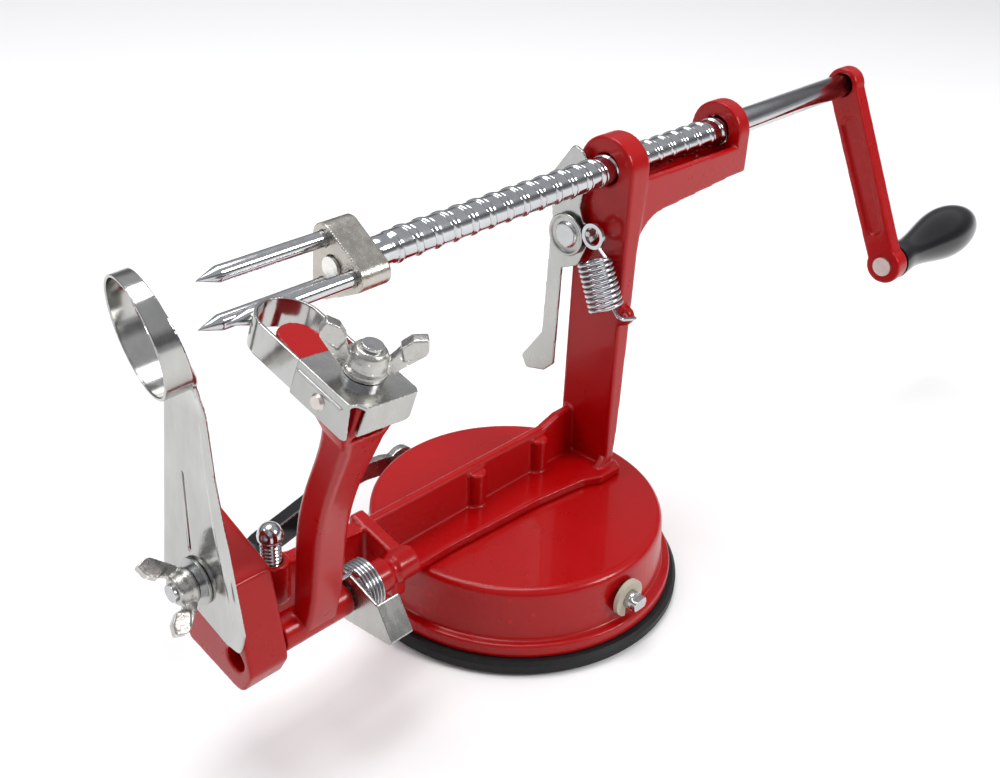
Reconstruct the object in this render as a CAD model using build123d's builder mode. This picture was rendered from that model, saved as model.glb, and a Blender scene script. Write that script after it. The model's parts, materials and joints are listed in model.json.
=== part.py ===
"""Apple peeler corer on a suction foot.

X runs along the drive shaft, with the fork at -X and the crank at +X. Z is up, and the
origin is the middle of the rubber foot's flat face. Sizes are in millimetres.
"""
from build123d import *
from math import cos, radians, sin
import os

# Shaft, thread and fork
SHAFT_Z = 131.0
ROD_RADIUS = 4.15
RIB_OUTER_RADIUS = 4.85
RIB_WIRE_RADIUS = 0.75
THREAD_PITCH = 6.8
THREAD_START_X = -56.0
THREAD_LENGTH = 153.0
BORE_RADIUS = 4.95
HUB_FRONT_X = -73.5
HUB_LENGTH = 9.4
PRONG_CIRCLE_RADIUS = 7.4
PRONG_RADIUS = 2.1
PRONG_TIP_X = -110.6
PRONG_POINT_LENGTH = 8.5
PRONG_FIRST_ANGLE = 63.5

# Crank
CRANK_X = 170.0
CRANK_THICKNESS = 6.2
ROD_IN_CRANK = 5.0
GRIP_Y = -30.0
GRIP_Z = 68.0
GRIP_START_X = 177.4
GRIP_END_X = 239.0
GRIP_PIN_RADIUS = 2.5
PIN_LENGTH = 55.0

# Foot
CUP_RADIUS = 54.0
CUP_HEIGHT = 4.6
CUP_SHEET = 3.0
HOUSING_LIP_RADIUS = 51.5
HOUSING_RADIUS = 48.6
HOUSING_TOP_RADIUS = 47.3
HOUSING_TOP_Z = 26.4
HOUSING_WALL = 3.4
AXLE_X = -3.0
AXLE_Z = 17.0
AXLE_RADIUS = 3.0
AXLE_THROW = 1.6
LEVER_Y = 51.2
LEVER_THICKNESS = 3.0
GRIP_SLEEVE = 1.3

# Frame casting
LEDGE_THICKNESS = 3.2
WALL_FRONT_Y = 4.3
WALL_TOP_Z = 43.5
BEAM_START_X = -62.5
POST_X = 32.5
POST_HALF_WIDTH = 10.3
POST_TOP_THICKNESS = 8.8
END_BOSS_X = 89.5
END_BOSS_THICKNESS = 6.0
END_BOSS_RADIUS = 9.6
BRACKET_HALF_WIDTH = 9.5
BRACKET_WALL = 2.5
BLOCK_X = -118.0
BLOCK_LENGTH = 12.0
WEB_Y = 2.5
WEB_THICKNESS = 5.5
STOP_SCREW_X = -94.8
STOP_SCREW_Y = 3.2
FRAME_SCREWS = ((-14.0, 5.2), (15.0, 5.2))

# Peeler arm pivot, parallel to the shaft
PIVOT_Y = -10.9
PIVOT_Z = 38.7
PIN_RADIUS = 2.9
SLEEVE_START_X = -104.9
SLEEVE_END_X = -82.0
SLEEVE_RADIUS = 4.9

# Peeling head: a plane tilted up toward the shaft, its origin on the crown of the loop
HEAD_X = -102.2
HEAD_Y = -11.0
HEAD_Z = 132.2
HEAD_TILT = 15.0
HEAD_ROLL = 7.0
LOOP_RADIUS = 8.0
STRIP_WIDTH = 8.2
STRIP_THICKNESS = 0.8
CLIP_FRONT = -21.6
CLIP_LENGTH = 19.5
CLIP_SHEET = 0.9
BLADE_BOLT_AT = CLIP_FRONT - 10.6
BOLT_RADIUS = 2.5
BLADE_TRAVEL = 3.0
TONGUE_TIP = -6.6

# Slicer: a tilted ring on a flat plate
RING_X = -125.9
RING_RADIUS = 15.0
RING_WALL = 0.8
RING_FRONT = 3.4
PLATE_X = -119.2
PLATE_THICKNESS = 1.1
SLICER_BOLT_Y = 1.0
SLICER_BOLT_Z = 58.2
SLICER_TRAVEL = 2.5

# Feed latch
LATCH_X = 29.5
LATCH_THICKNESS = 1.2
LATCH_PIVOT_Y = 9.9
LATCH_PIVOT_Z = 108.1
SPRING_X = 26.3
SPRING_WIRE = 0.6

RUNNING_GAP = 0.06

tilt = radians(HEAD_TILT)
roll = radians(HEAD_ROLL)
head_up = Vector(0, -sin(tilt), cos(tilt))
head = Plane(origin=(HEAD_X, HEAD_Y, HEAD_Z), x_dir=Vector(cos(roll), 0, 0) - head_up * sin(roll),
             z_dir=head_up * cos(roll) + Vector(sin(roll), 0, 0))
ring_rear = Plane(origin=(-123.0, 0, SHAFT_Z), z_dir=(1, -0.19, 0.27))
ring_plane = Plane(origin=(RING_X, 0, SHAFT_Z), x_dir=(0.19, 1, 0), z_dir=(1, -0.19, 0.15))


def across(x):
    """Plane square to the shaft at x, with local x = Y and local y = Z."""
    return Plane.YZ.offset(x)


def side(y):
    """Upright plane along the shaft at y, with local x = X and local y = Z."""
    return Plane.XZ.offset(-y)


def save(part, name):
    part.label = name
    export_step(part, f"parts/{name}.step")


def disc(plane, radius, length, mode=Mode.ADD):
    """Adds or removes a round bar that grows along the plane's normal."""
    with BuildSketch(plane) as profile:
        Circle(radius)
    extrude(profile.sketch, amount=length, mode=mode)


def bar_x(x, y, z, radius, length, mode=Mode.ADD):
    """Adds or removes a round bar parallel to the shaft, from x onward."""
    with BuildSketch(across(x)) as profile:
        with Locations((y, z)):
            Circle(radius)
    extrude(profile.sketch, amount=length, mode=mode)


def slab(plane, points, thickness, corners=None, radius=1.0, both=False):
    """Adds a plate with a straight-edged outline, its listed corners rounded."""
    with BuildSketch(plane) as outline:
        with BuildLine():
            Polyline(*points, close=True)
        make_face()
        picked = outline.vertices() if corners is None else [nearest_corner(outline, c) for c in corners]
        if picked:
            fillet(picked, radius)
    extrude(outline.sketch, amount=thickness, both=both)


def nearest_corner(outline, place):
    """The sketch's corner nearest to a local point."""
    return min(outline.vertices(), key=lambda v: (v.X - place[0]) ** 2 + (v.Y - place[1]) ** 2)


# ---------------------------------------------------------------- foot

def make_suction_cup():
    with BuildPart() as suction_cup:
        with BuildSketch(Plane.XZ):
            with BuildLine():
                Polyline((0, 0), (53.2, 0), (CUP_RADIUS, 1.0), (CUP_RADIUS, 3.5), (53.0, CUP_HEIGHT),
                         (46.8, CUP_HEIGHT), (44.5, CUP_SHEET), (0, CUP_SHEET), close=True)
            make_face()
        revolve(axis=Axis.Z)
    save(suction_cup.part, "suction_cup")


def make_housing():
    cavity_top = HOUSING_TOP_Z - HOUSING_WALL
    with BuildPart() as suction_housing:
        with BuildSketch(Plane.XZ) as section:
            with BuildLine():
                Polyline((0, cavity_top), (45.0, cavity_top), (46.4, CUP_HEIGHT),
                         (HOUSING_LIP_RADIUS, CUP_HEIGHT), (HOUSING_LIP_RADIUS, 9.0),
                         (HOUSING_RADIUS, 9.5), (HOUSING_TOP_RADIUS, HOUSING_TOP_Z),
                         (0, HOUSING_TOP_Z), close=True)
            make_face()
            fillet(nearest_corner(section, (HOUSING_TOP_RADIUS, HOUSING_TOP_Z)), 2.6)
            fillet(nearest_corner(section, (HOUSING_LIP_RADIUS, 9.0)), 0.45)
        revolve(axis=Axis.Z)
        with BuildSketch(side(60)):
            with Locations((AXLE_X, AXLE_Z)):
                Circle(AXLE_RADIUS + RUNNING_GAP)
        extrude(amount=120, mode=Mode.SUBTRACT)
        with BuildSketch(Plane.XY.offset(cavity_top)):
            with Locations(*FRAME_SCREWS):
                Circle(2.0)
        extrude(amount=HOUSING_WALL, mode=Mode.SUBTRACT)
    save(suction_housing.part, "suction_housing")


def make_housing_screws():
    with BuildPart() as housing_screws:
        with BuildSketch(Plane.XY.offset(21.0)):
            with Locations(*FRAME_SCREWS):
                Circle(3.4)
        extrude(amount=2.0)
        with BuildSketch(Plane.XY.offset(23.0)):
            with Locations(*FRAME_SCREWS):
                Circle(1.75)
        extrude(amount=14.0)
    save(housing_screws.part, "housing_screws")


def make_cup_stem():
    """Plate bonded over the cup, with a window that the axle's crank pin lifts."""
    with BuildPart() as cup_stem:
        disc(Plane.XY.offset(CUP_SHEET + 0.3), 16.0, 1.5)
        disc(Plane.XY.offset(CUP_SHEET + 1.8), 5.0, 4.4)
        with BuildSketch(side(3.5)):
            with Locations((AXLE_X, AXLE_Z - 2.1)):
                RectangleRounded(15.4, 11.4, 2.0)
            with Locations((AXLE_X, AXLE_Z - 1.8)):
                Rectangle(8.4, 5.4, mode=Mode.SUBTRACT)
        extrude(amount=7.0)
    save(cup_stem.part, "cup_stem")


def make_lever_axle():
    pin_half = 5.2
    with BuildPart() as lever_axle:
        with BuildSketch(side(-pin_half)):
            with Locations((AXLE_X, AXLE_Z)):
                Circle(AXLE_RADIUS)
        extrude(amount=47.3)
        with BuildSketch(side(LEVER_Y - 0.2)):
            with Locations((AXLE_X, AXLE_Z)):
                Circle(AXLE_RADIUS)
        extrude(amount=LEVER_Y - 0.2 - pin_half)
        with BuildSketch(side(pin_half)):
            with Locations((AXLE_X, AXLE_Z - AXLE_THROW)):
                Circle(2.0)
        extrude(amount=2 * pin_half)
        with BuildSketch(side(LEVER_Y + LEVER_THICKNESS)):
            with Locations((AXLE_X, AXLE_Z)):
                Circle(2.2)
        extrude(amount=LEVER_THICKNESS + 0.5)
        with BuildSketch(side(LEVER_Y + LEVER_THICKNESS + 1.0)):
            with Locations((AXLE_X, AXLE_Z)):
                Circle(3.4)
        extrude(amount=1.0)
        with BuildSketch(side(-52.4)):
            with Locations((AXLE_X, AXLE_Z)):
                Circle(AXLE_RADIUS - 0.2)
                RectangleRounded(7.0, 3.6, 0.8, mode=Mode.INTERSECT)
        extrude(amount=2.4)
    save(lever_axle.part, "lever_axle")


def make_axle_clip():
    with BuildPart() as axle_clip:
        with BuildSketch(side(-49.0)):
            with Locations((AXLE_X, AXLE_Z)):
                Circle(6.0)
                Circle(AXLE_RADIUS + 0.03, mode=Mode.SUBTRACT)
            with Locations((AXLE_X, AXLE_Z - 5.0)):
                Rectangle(3.2, 6.0, mode=Mode.SUBTRACT)
        extrude(amount=1.5)
    save(axle_clip.part, "axle_clip")


def lever_outline(plane, grow=0.0):
    """Arched bar that falls toward its free end, with a margin added at its edges."""
    with BuildSketch(plane) as outline:
        with BuildLine():
            top = Spline(
                (-2.0, 22.6 + grow), (-20.0, 27.3 + grow), (-42.0, 24.0 + grow), (-66.0 - grow, 17.6 + grow)
            )
            low = Spline(
                (-66.0 - grow, 8.8 - grow), (-42.0, 14.2 - grow), (-20.0, 17.4 - grow), (-2.0, 11.4 - grow)
            )
            Line(top @ 1, low @ 0)
            Line(low @ 1, top @ 0)
        make_face()
    return outline.sketch


def make_suction_lever():
    with BuildPart() as suction_lever:
        extrude(lever_outline(side(LEVER_Y + LEVER_THICKNESS)), amount=LEVER_THICKNESS)
        with BuildSketch(side(LEVER_Y + LEVER_THICKNESS)):
            with Locations((AXLE_X, AXLE_Z)):
                Circle(5.8)
        extrude(amount=LEVER_THICKNESS)
        with BuildSketch(side(LEVER_Y + LEVER_THICKNESS)):
            with Locations((AXLE_X, AXLE_Z)):
                Circle(2.22)
        extrude(amount=LEVER_THICKNESS, mode=Mode.SUBTRACT)
    save(suction_lever.part, "suction_lever")
    return suction_lever.part


def make_lever_grip(lever):
    with BuildPart() as lever_grip:
        outer_plane = side(LEVER_Y + LEVER_THICKNESS + GRIP_SLEEVE)
        extrude(lever_outline(outer_plane, GRIP_SLEEVE), amount=LEVER_THICKNESS + 2 * GRIP_SLEEVE)
        with BuildSketch(outer_plane):
            with Locations((-66.0, AXLE_Z)):
                Rectangle(40.0, 40.0)
        extrude(amount=LEVER_THICKNESS + 2 * GRIP_SLEEVE, mode=Mode.INTERSECT)
        add(lever, mode=Mode.SUBTRACT)
    save(lever_grip.part, "lever_grip")


# ---------------------------------------------------------------- frame

def frame_beam():
    """Ledge on the housing, its back wall, the end plate and two screw bosses."""
    ledge = ((BEAM_START_X, -6.5), (-36.0, -5.9), (1.3, -7.9), (21.0, -10.6), (27.0, -13.5),
             (36.5, -13.5), (38.5, -10.3), (38.5, 10.3), (BEAM_START_X, 8.9))
    with BuildSketch(Plane.XY.offset(HOUSING_TOP_Z)) as profile:
        with BuildLine():
            Polyline(*ledge, close=True)
        make_face()
    extrude(profile.sketch, amount=LEDGE_THICKNESS)
    wall = ((WALL_FRONT_Y, HOUSING_TOP_Z), (WALL_FRONT_Y + 0.9, WALL_TOP_Z), (8.3, WALL_TOP_Z),
            (8.9, HOUSING_TOP_Z))
    slab(across(BEAM_START_X), wall, POST_X + 2 - BEAM_START_X, corners=wall[1:3], radius=0.8)
    gusset = ((18.0, 40.0), (18.0, WALL_TOP_Z), (25.0, 45.6), (POST_X + 1, 45.8), (POST_X + 1, 40.0))
    slab(side(8.3), gusset, 3.2, corners=())
    with BuildSketch(Plane.XY.offset(HOUSING_TOP_Z)) as profile:
        with Locations(*FRAME_SCREWS):
            Circle(3.4)
    extrude(profile.sketch, amount=WALL_TOP_Z - HOUSING_TOP_Z - 2.0)
    plate = ((-10.0, HOUSING_TOP_Z), (-10.0, 42.0), (9.6, 46.8), (9.6, HOUSING_TOP_Z))
    slab(across(BEAM_START_X), plate, 4.5, corners=plate[1:3], radius=1.6)


def frame_post():
    """Tapered post with the front shaft boss, a latch lug and a spring ear."""
    profile = ((POST_X, HOUSING_TOP_Z), (POST_X, SHAFT_Z), (POST_X + POST_TOP_THICKNESS, SHAFT_Z),
               (39.2, 108.0), (37.8, 50.0), (37.4, 41.0), (36.0, HOUSING_TOP_Z))
    slab(Plane.XZ, profile, POST_HALF_WIDTH, corners=(), both=True)
    bar_x(POST_X, 0, SHAFT_Z, POST_HALF_WIDTH, POST_TOP_THICKNESS)
    bar_x(POST_X, LATCH_PIVOT_Y, LATCH_PIVOT_Z, 5.0, 5.5)
    bar_x(POST_X + 0.5, -10.8, 85.5, 3.2, 3.0)
    slab(side(-7.5), ((27.5, 28.0), (POST_X + 1, 28.0), (POST_X + 1, 34.0)), 3.0, corners=())


def frame_bracket():
    """Channel behind the post that carries the rear shaft boss."""
    with BuildSketch(Plane.XZ) as profile:
        with BuildLine():
            sweep_in = ThreePointArc((38.6, 104.0), (42.2, 112.4), (50.5, 116.1))
            Polyline(sweep_in @ 1, (80.0, 117.6), (86.0, 118.0), (95.5, 118.0), (95.5, 126.0),
                     (89.5, 127.5), (38.6, 128.5), sweep_in @ 0)
        make_face()
    extrude(profile.sketch, amount=BRACKET_HALF_WIDTH, both=True)
    with BuildSketch(across(END_BOSS_X)) as profile:
        with Locations((0, SHAFT_Z)):
            Circle(END_BOSS_RADIUS)
        with Locations((0, 124.5)):
            Rectangle(2 * BRACKET_HALF_WIDTH, 13.0)
    extrude(profile.sketch, amount=END_BOSS_THICKNESS)
    channel_start = POST_X + POST_TOP_THICKNESS
    with BuildSketch(across(channel_start)) as profile:
        with Locations((0, 127.0)):
            RectangleRounded(2 * (BRACKET_HALF_WIDTH - BRACKET_WALL), 13.0, 1.5)
    extrude(profile.sketch, amount=END_BOSS_X - channel_start, mode=Mode.SUBTRACT)


def frame_cutter_end():
    """Block for the slicer, the web back to the beam and the two pivot knobs."""
    block = ((-12.3, 62.7), (-17.6, 36.5), (-13.0, 28.2), (9.5, 33.5), (15.0, 48.0), (13.0, 73.5))
    slab(across(BLOCK_X), block, BLOCK_LENGTH, corners=(block[1], block[2]), radius=4.0)
    web = ((-107.0, 32.0), (-107.0, 50.0), (-95.0, 48.8), (-86.0, 46.6), (-61.0, 44.5), (-61.0, 27.5),
           (-76.0, 29.0))
    slab(side(WEB_Y + WEB_THICKNESS), web, WEB_THICKNESS, corners=())
    with BuildSketch(Plane.XY.offset(38.0)) as profile:
        with Locations((STOP_SCREW_X, STOP_SCREW_Y)):
            Circle(4.8)
    extrude(profile.sketch, amount=12.5)
    bar_x(-72.8, PIVOT_Y, PIVOT_Z, 5.0, 6.0)
    bar_x(-67.0, PIVOT_Y, PIVOT_Z, 4.0, 3.0)
    bar_x(-64.4, PIVOT_Y, PIVOT_Z, 4.6, 7.4)


def frame_holes():
    bar_x(POST_X - 1, 0, SHAFT_Z, BORE_RADIUS, END_BOSS_X + END_BOSS_THICKNESS - POST_X + 2, Mode.SUBTRACT)
    bar_x(BLOCK_X, PIVOT_Y, PIVOT_Z, 3.6, 9.0, Mode.SUBTRACT)
    bar_x(BLOCK_X, PIVOT_Y, PIVOT_Z, PIN_RADIUS + 0.02, 58.5, Mode.SUBTRACT)
    bar_x(BLOCK_X, SLICER_BOLT_Y, SLICER_BOLT_Z, BOLT_RADIUS + 0.1, BLOCK_LENGTH, Mode.SUBTRACT)
    bar_x(POST_X, LATCH_PIVOT_Y, LATCH_PIVOT_Z, 1.92, 8.0, Mode.SUBTRACT)
    bar_x(POST_X, -11.8, 85.5, 1.4, 5.0, Mode.SUBTRACT)
    with BuildSketch(Plane.XY.offset(HOUSING_TOP_Z)) as profile:
        with Locations(*FRAME_SCREWS):
            Circle(1.77)
    extrude(profile.sketch, amount=12.0, mode=Mode.SUBTRACT)
    with BuildSketch(Plane.XY.offset(42.0)) as profile:
        with Locations((STOP_SCREW_X, STOP_SCREW_Y)):
            Circle(3.0)
    extrude(profile.sketch, amount=12.0, mode=Mode.SUBTRACT)


def make_frame():
    with BuildPart() as frame_casting:
        frame_beam()
        frame_post()
        frame_bracket()
        frame_cutter_end()
        frame_holes()
    save(frame_casting.part, "frame_casting")


# ---------------------------------------------------------------- shaft, fork and crank

def make_drive_shaft():
    """Round bar with one raised right-hand rib wound round it."""
    with BuildPart() as drive_shaft:
        bar_x(HUB_FRONT_X + 0.8, 0, SHAFT_Z, ROD_RADIUS, CRANK_X + ROD_IN_CRANK - HUB_FRONT_X - 0.8)
        with BuildLine() as winding:
            Helix(pitch=THREAD_PITCH, height=THREAD_LENGTH, radius=RIB_OUTER_RADIUS - RIB_WIRE_RADIUS,
                  center=(THREAD_START_X, 0, SHAFT_Z), direction=(1, 0, 0))
        with BuildSketch(Plane(origin=winding.line @ 0, z_dir=winding.line % 0)):
            Circle(RIB_WIRE_RADIUS)
        sweep(path=winding.line, is_frenet=True)
    save(drive_shaft.part, "drive_shaft")


def prong_places():
    return PolarLocations(PRONG_CIRCLE_RADIUS, 3, start_angle=PRONG_FIRST_ANGLE)


def make_fork_hub():
    hub_plane = Plane(origin=(HUB_FRONT_X, 0, SHAFT_Z), x_dir=(0, 1, 0), z_dir=(1, 0, 0))
    with BuildPart() as fork_hub:
        with BuildSketch(hub_plane):
            with prong_places():
                Circle(4.0)
            make_hull()
        extrude(amount=HUB_LENGTH)
        disc(hub_plane.offset(HUB_LENGTH), 5.6, 1.0)
        with BuildSketch(hub_plane):
            Circle(3.2)
            with prong_places():
                Circle(PRONG_RADIUS + 0.02)
        extrude(amount=0.8, mode=Mode.SUBTRACT)
        with BuildSketch(hub_plane.offset(0.8)):
            Circle(ROD_RADIUS + 0.02)
            with prong_places():
                Circle(PRONG_RADIUS + 0.02)
        extrude(amount=HUB_LENGTH + 3.0, mode=Mode.SUBTRACT)
    save(fork_hub.part, "fork_hub")


def make_fork_prongs():
    prong_end_x = HUB_FRONT_X + HUB_LENGTH - 0.5
    shoulder_x = PRONG_TIP_X + PRONG_POINT_LENGTH
    with BuildPart() as fork_prongs:
        with BuildSketch(Plane(origin=(shoulder_x, 0, SHAFT_Z), x_dir=(0, 1, 0), z_dir=(1, 0, 0))):
            with prong_places():
                Circle(PRONG_RADIUS)
        extrude(amount=prong_end_x - shoulder_x)
        for prong in range(3):
            angle = radians(PRONG_FIRST_ANGLE + 120 * prong)
            root = (shoulder_x, PRONG_CIRCLE_RADIUS * cos(angle), SHAFT_Z + PRONG_CIRCLE_RADIUS * sin(angle))
            with Locations(Plane(origin=root, x_dir=(0, 1, 0), z_dir=(-1, 0, 0))):
                Cone(PRONG_RADIUS, 0.15, PRONG_POINT_LENGTH, align=(Align.CENTER, Align.CENTER, Align.MIN))
    save(fork_prongs.part, "fork_prongs")


def make_shaft_rivet():
    with BuildPart() as shaft_rivet:
        bar_x(HUB_FRONT_X - 0.9, 0, SHAFT_Z, 3.0, 1.6)
    save(shaft_rivet.part, "shaft_rivet")


def make_crank_arm():
    with BuildPart() as crank_arm:
        with BuildSketch(across(CRANK_X)):
            with Locations((0, SHAFT_Z)):
                Circle(5.7)
            with Locations((GRIP_Y, GRIP_Z)):
                Circle(5.4)
            make_hull()
        extrude(amount=CRANK_THICKNESS)
        bar_x(CRANK_X, 0, SHAFT_Z, 6.2, CRANK_THICKNESS)
        bar_x(CRANK_X, GRIP_Y, GRIP_Z, 6.8, CRANK_THICKNESS + 0.6)
        for face_x, direction in ((CRANK_X, 1), (CRANK_X + CRANK_THICKNESS, -1)):
            with BuildSketch(across(face_x)):
                with Locations((0.22 * GRIP_Y, SHAFT_Z + 0.22 * (GRIP_Z - SHAFT_Z))):
                    Circle(3.6)
                with Locations((0.78 * GRIP_Y, SHAFT_Z + 0.78 * (GRIP_Z - SHAFT_Z))):
                    Circle(3.2)
                make_hull()
            extrude(amount=direction * 1.0, mode=Mode.SUBTRACT)
        bar_x(CRANK_X, 0, SHAFT_Z, ROD_RADIUS + 0.02, ROD_IN_CRANK, Mode.SUBTRACT)
        bar_x(CRANK_X, GRIP_Y, GRIP_Z, GRIP_PIN_RADIUS + 0.02, CRANK_THICKNESS + 0.6, Mode.SUBTRACT)
    save(crank_arm.part, "crank_arm")


def make_crank_rivet():
    with BuildPart() as crank_rivet:
        bar_x(CRANK_X - 1.0, GRIP_Y, GRIP_Z, 3.6, 1.0)
    save(crank_rivet.part, "crank_rivet")


def make_grip_pin():
    with BuildPart() as grip_pin:
        bar_x(CRANK_X, GRIP_Y, GRIP_Z, GRIP_PIN_RADIUS, PIN_LENGTH)
        bar_x(CRANK_X + PIN_LENGTH, GRIP_Y, GRIP_Z, 3.6, 2.0)
    save(grip_pin.part, "grip_pin")


def make_crank_grip():
    """Pear-shaped handle, turned about the pin, with a counterbored hole for the pin's head."""
    grip_plane = Plane(origin=(GRIP_START_X, GRIP_Y, GRIP_Z), x_dir=(1, 0, 0), z_dir=(0, -1, 0))
    length = GRIP_END_X - GRIP_START_X
    with BuildPart() as crank_grip:
        with BuildSketch(grip_plane):
            with BuildLine():
                flank = Spline((0, 6.9), (9.0, 6.2), (27.0, 8.2), (45.0, 10.1), (57.5, 7.2), (length, 0),
                               tangents=((1, 0), (0, -1)))
                Polyline(flank @ 1, (0, 0), flank @ 0)
            make_face()
        revolve(axis=Axis((GRIP_START_X, GRIP_Y, GRIP_Z), (1, 0, 0)))
        bar_x(GRIP_START_X, GRIP_Y, GRIP_Z, GRIP_PIN_RADIUS + RUNNING_GAP, 50.0, Mode.SUBTRACT)
        bar_x(CRANK_X + PIN_LENGTH - 0.3, GRIP_Y, GRIP_Z, 3.9, 2.8, Mode.SUBTRACT)
    save(crank_grip.part, "crank_grip")


# ---------------------------------------------------------------- feed latch

def make_latch_plate():
    outline = ((10.4, 136.8), (18.8, 125.0), (17.2, 112.0), (17.6, 102.0), (18.6, 68.6), (12.8, 66.2),
               (12.2, 95.5), (5.6, 98.5), (2.4, 106.0), (-1.6, 110.4), (-1.2, 113.6), (4.6, 113.2),
               (6.4, 118.0), (5.0, 126.0), (3.4, 131.5), (6.6, 135.4))
    with BuildPart() as latch_plate:
        rounded = (outline[0], outline[1], outline[7])
        slab(across(LATCH_X), outline, LATCH_THICKNESS, corners=rounded, radius=1.5)
        tab = ((18.6, 70.2), (26.9, 58.4), (24.6, 54.4), (16.8, 56.4), (12.9, 60.2), (12.8, 68.0))
        slab(across(LATCH_X), tab, LATCH_THICKNESS, corners=tab[1:4], radius=1.0)
        with BuildSketch(across(LATCH_X - 3.6)):
            with Locations((-0.2, 112.0)):
                Rectangle(1.6, 1.6)
        extrude(amount=4.0)
        with BuildSketch(across(LATCH_X)):
            with Locations((0, SHAFT_Z)):
                Circle(RIB_OUTER_RADIUS + 0.45)
            with Locations((LATCH_PIVOT_Y, LATCH_PIVOT_Z)):
                Circle(1.9 + RUNNING_GAP)
        extrude(amount=LATCH_THICKNESS, mode=Mode.SUBTRACT)
    save(latch_plate.part, "latch_plate")


def make_latch_pivot_screw():
    with BuildPart() as latch_pivot_screw:
        bar_x(LATCH_X - 2.0, LATCH_PIVOT_Y, LATCH_PIVOT_Z, 4.6, 1.8)
        bar_x(LATCH_X - 0.3, LATCH_PIVOT_Y, LATCH_PIVOT_Z, 1.9, 8.6)
        bar_x(LATCH_X + LATCH_THICKNESS + 0.2, LATCH_PIVOT_Y, LATCH_PIVOT_Z, 3.4,
              POST_X - LATCH_X - LATCH_THICKNESS - 0.2)
        edge_ring = latch_pivot_screw.faces().sort_by(Axis.X)[0].edges()
        fillet(edge_ring, 1.5)
    save(latch_pivot_screw.part, "latch_pivot_screw")


def wire(path_points, radius):
    """Adds a straight-run wire with rounded bends."""
    with BuildLine() as run:
        if len(path_points) > 2:
            FilletPolyline(*path_points, radius=1.2)
        else:
            Line(*path_points)
    with BuildSketch(Plane(origin=run.line @ 0, z_dir=run.line % 0)) as profile:
        Circle(radius)
    sweep(profile.sketch, path=run.line)


def make_latch_spring():
    """Close-wound extension spring from the latch hook down to the ear on the post."""
    top = Vector(SPRING_X, -3.6, 104.5)
    bottom = Vector(SPRING_X + 0.2, -9.6, 90.0)
    axis_dir = (bottom - top).normalized()
    with BuildPart() as latch_spring:
        with BuildLine() as winding:
            Helix(pitch=1.62, height=(bottom - top).length, radius=5.0, center=top, direction=axis_dir)
        with BuildSketch(Plane(origin=winding.line @ 0, z_dir=winding.line % 0)):
            Circle(SPRING_WIRE)
        sweep(path=winding.line, is_frenet=True)
        with BuildSketch(Plane(origin=(LATCH_X - 2.2, -1.6, 111.4), x_dir=(0, 1, 0), z_dir=(1, 0, 0))):
            Circle(4.1)
            Circle(2.9, mode=Mode.SUBTRACT)
        extrude(amount=SPRING_WIRE, both=True)
        start = winding.line @ 0
        wire((start, (LATCH_X - 2.2, -4.0, 108.6)), SPRING_WIRE)
        finish = winding.line @ 1
        wire((finish, (27.0, -14.6, 88.0), (POST_X + 2.0, -15.0, 86.0)), SPRING_WIRE)
    save(latch_spring.part, "latch_spring")


# ---------------------------------------------------------------- slicer

def make_slicer_blade():
    right_edge = ((-7.4, 118.5), (-8.4, 109.3), (-9.8, 93.6), (-12.6, 77.0), (-17.2, 50.5))
    left_edge = ((14.6, 51.5), (16.6, 56.0), (14.3, 69.5), (12.2, 82.9), (10.1, 95.5), (8.2, 108.0),
                 (7.2, 118.5))
    outline = right_edge + ((-15.2, 43.6), (-9.5, 43.4)) + left_edge
    neck = ((-7.2, 119.0), (-8.2, 110.0), (8.0, 110.0), (7.2, 119.0))
    with BuildPart() as slicer_blade:
        disc(ring_plane.offset(-RING_FRONT), RING_RADIUS, 2.6 * RING_FRONT)
        split(bisect_by=ring_rear, keep=Keep.BOTTOM)
        slab(across(PLATE_X), outline, PLATE_THICKNESS, corners=outline[5:8], radius=2.0)
        slab(across(PLATE_X - 3.0), neck, 3.0 + PLATE_THICKNESS, corners=())
        disc(ring_plane.offset(-3 * RING_FRONT), RING_RADIUS - RING_WALL, 6 * RING_FRONT, Mode.SUBTRACT)
        with BuildSketch(across(PLATE_X)):
            with Locations((SLICER_BOLT_Y, SLICER_BOLT_Z)):
                SlotCenterToCenter(2 * SLICER_TRAVEL + 0.6, 2 * BOLT_RADIUS + 0.7, rotation=90)
            with Locations((3.2, 78.0)):
                Rectangle(0.9, 24.0)
        extrude(amount=PLATE_THICKNESS, mode=Mode.SUBTRACT)
    save(slicer_blade.part, "slicer_blade")


def ring_washer(plane, outer, inner, thickness, split):
    with BuildSketch(plane) as profile:
        Circle(outer)
        Circle(inner, mode=Mode.SUBTRACT)
        if split:
            with Locations((outer, 0)):
                Rectangle(2 * outer - 2 * inner + 0.5, 0.9, mode=Mode.SUBTRACT)
    extrude(profile.sketch, amount=thickness)


def hexagon_bar(plane, across_flats, length):
    with BuildSketch(plane) as profile:
        RegularPolygon(across_flats / 2, 6, major_radius=False)
    extrude(profile.sketch, amount=length)


def wing_nut(seat, reach, rise, name):
    """Wing nut that stands on its seat plane, its wings along the plane's x direction."""
    wing_plane = Plane(origin=seat.origin, x_dir=seat.x_dir, z_dir=-seat.y_dir)
    with BuildPart() as nut:
        with BuildSketch(seat):
            Circle(4.9)
        extrude(amount=3.8, taper=12)
        for turn in (1, -1):
            blade = ((turn * 2.8, 0.6), (turn * 6.0, 1.4), (turn * reach, rise - 3.2),
                     (turn * (reach - 0.4), rise), (turn * (reach - 4.4), rise - 0.6),
                     (turn * 4.6, 3.8), (turn * 2.8, 3.6))
            slab(wing_plane, blade, 0.95, corners=(blade[2], blade[3], blade[4]), radius=0.9, both=True)
        with BuildSketch(seat):
            Circle(BOLT_RADIUS + RUNNING_GAP)
        extrude(amount=rise, mode=Mode.SUBTRACT)
    save(nut.part, name)


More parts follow.
